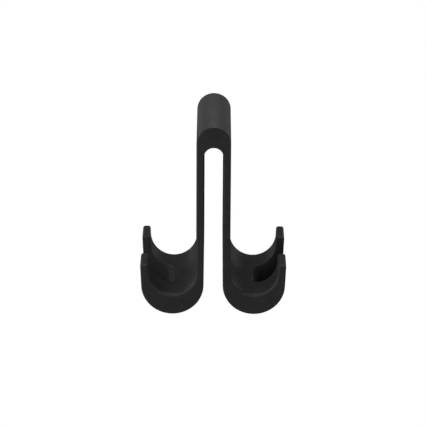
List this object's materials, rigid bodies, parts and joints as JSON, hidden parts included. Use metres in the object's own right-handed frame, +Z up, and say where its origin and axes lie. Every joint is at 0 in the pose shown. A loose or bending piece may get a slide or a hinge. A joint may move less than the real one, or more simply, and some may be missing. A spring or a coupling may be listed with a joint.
{
  "type": "headphone hook",
  "caption": "Double headphone hook whose deep slotted saddle straddles the top of an upright desk screen, with a notched U cradle on each side for a headband.",
  "frame": {"origin": "crown of the slot, halfway along the hook's depth, where the screen's top edge carries the hook", "axes": "+Z up, against the way the hook slides down over the screen; +Y along the screen's top edge; +X across the screen's thickness"},
  "size_m": [0.1208, 0.087, 0.165],
  "materials": {
    "body": "fine matte near-black moulded texture",
    "grip": "matte black silicone"
  },
  "bodies": {
    "root": {"hook_body": "body", "left_grip_pad": "grip", "right_grip_pad": "grip"}
  },
  "joints": []
}
